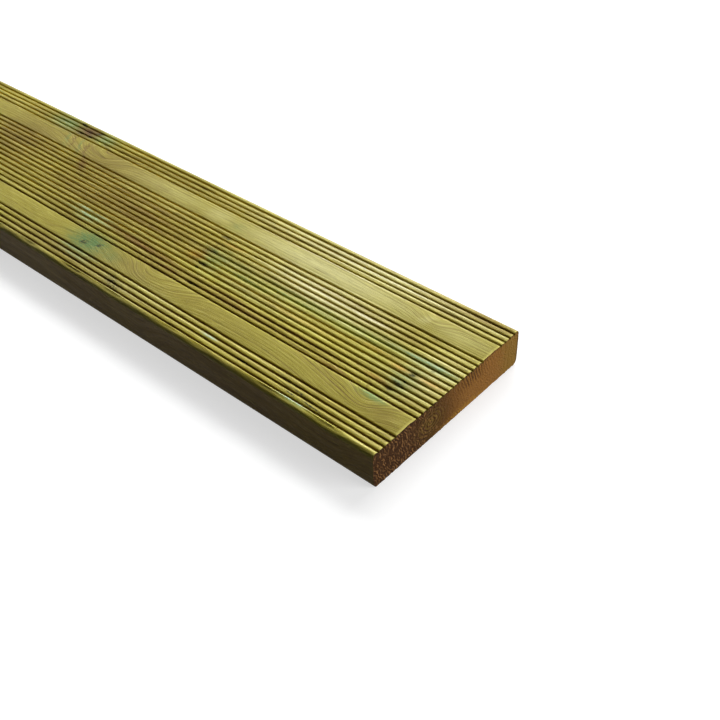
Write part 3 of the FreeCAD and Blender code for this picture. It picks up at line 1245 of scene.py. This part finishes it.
barred = smooth(height + end_mottle * 20.0, 12.0, 22.0) * bell((across - 23.0) / 13.0)
print("saw lines", SAW_LINE, "mm apart")

# %% Draw the rings round a small branch in the end
SWIRL_PLACE = -19.0
SWIRL_HEIGHT = 14.0
swirl_across = (across - SWIRL_PLACE + end_mottle * 5.0) * 0.75
swirl_up = height - SWIRL_HEIGHT
from_swirl = calc("SQRT", swirl_across * swirl_across + swirl_up * swirl_up)
swirl_phase = calc("FRACT", from_swirl / RING_WIDTH)
swirl = smooth(swirl_phase, 0.2, 0.5) * smooth(swirl_phase, 1.0, 0.8) * bell(from_swirl / 9.0)
print("a swirl", SWIRL_PLACE, "mm from the middle of the end")

# %% Paint the end
# The end goes from darker at the near edge to lighter towards the far one
sawn = mix(smooth(wavy_across, -25.0, 25.0), END_SHADE, END_MIDDLE)
sawn = mix(bell(from_swirl / 12.0) * 0.7, sawn, END_SHADE)
sawn = mix(smooth(grit, 0.0, 0.22) * 0.42, sawn, END_DARK)
sawn = mix(light_lines * (more_torn * 0.52 + 0.14), sawn, END_LIGHT)
sawn = mix(swirl * 0.6, sawn, END_OLIVE)
sawn = mix(bars * (barred * 0.75 + 0.1), sawn, END_DARK)
sawn = mix(smooth(grit, -0.08, -0.26) * 0.4, sawn, END_LIGHT)
near_bottom = smooth(height + end_mottle * 10.0, 6.0, 1.0) * bell((across - 12.0) / 24.0)
sawn = mix(near_bottom * smooth(grit, -0.05, 0.12) * 0.9, sawn, END_YELLOW)
sawn = mix(smooth(wavy_across, 46.0, 64.0) * 0.6, sawn, END_OLIVE)
# Painted shade: the end darkens within a couple of millimetres of its upper and far edges
from_rim = calc("MINIMUM", depth, half_width / MM - across)
sawn = mix(smooth(from_rim, 2.4, 0.6) * 0.45, sawn, END_DARK)
colour = mix(end_share, planed, sawn)
print("end goes from dark brown to olive")

# %% [markdown]
# ## The surface
#
# Planed softwood is matt, and the end is rougher still. The finest fibres and the torn bits
# between the saw's lines are too small to model, so a bump lifts them by a fraction of a
# millimetre, one pattern for the faces and another for the ends.

# %% Finish the surface
BUMP_STRENGTH = 0.8
BUMP_DEPTH = 0.3 * MM
SHINE = 0.18
roughness = 0.6 + fibres * 0.25 + end_share * 0.25
face_relief = fine_fibres * 0.8 - fibres * 0.8 - hairs * 1.0 - rings * 0.5 - knot_dark * 0.8
end_relief = end_mottle * 2.5 + light_lines * 1.5 - grit * 2.0
relief = face_relief + end_share * (end_relief - face_relief)
bump = add_node("ShaderNodeBump")
bump.inputs["Strength"].default_value = BUMP_STRENGTH
bump.inputs["Distance"].default_value = BUMP_DEPTH
feed(bump.inputs["Height"], relief)
skin = add_node("ShaderNodeBsdfPrincipled")
feed(skin.inputs["Base Color"], colour)
feed(skin.inputs["Roughness"], roughness)
skin.inputs["Specular IOR Level"].default_value = SHINE
tree.links.new(bump.outputs["Normal"], skin.inputs["Normal"])
result = add_node("ShaderNodeOutputMaterial")
tree.links.new(skin.outputs[0], result.inputs[0])
board.data.materials.append(wood)
print(len(tree.nodes), "nodes in the wood")

# %% [markdown]
# ## Handing the piece over
#
# The dressed board takes the place of the plain solid and moves with it.

# %% Shade and register the board
SMOOTH_ANGLE = math.radians(40)
bpy.ops.object.select_all(action="DESELECT")
board.select_set(True)
bpy.context.view_layer.objects.active = board
bpy.ops.object.shade_smooth_by_angle(angle=SMOOTH_ANGLE)
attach(board, "root")
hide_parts(NODE)
print("registered:", board.name)
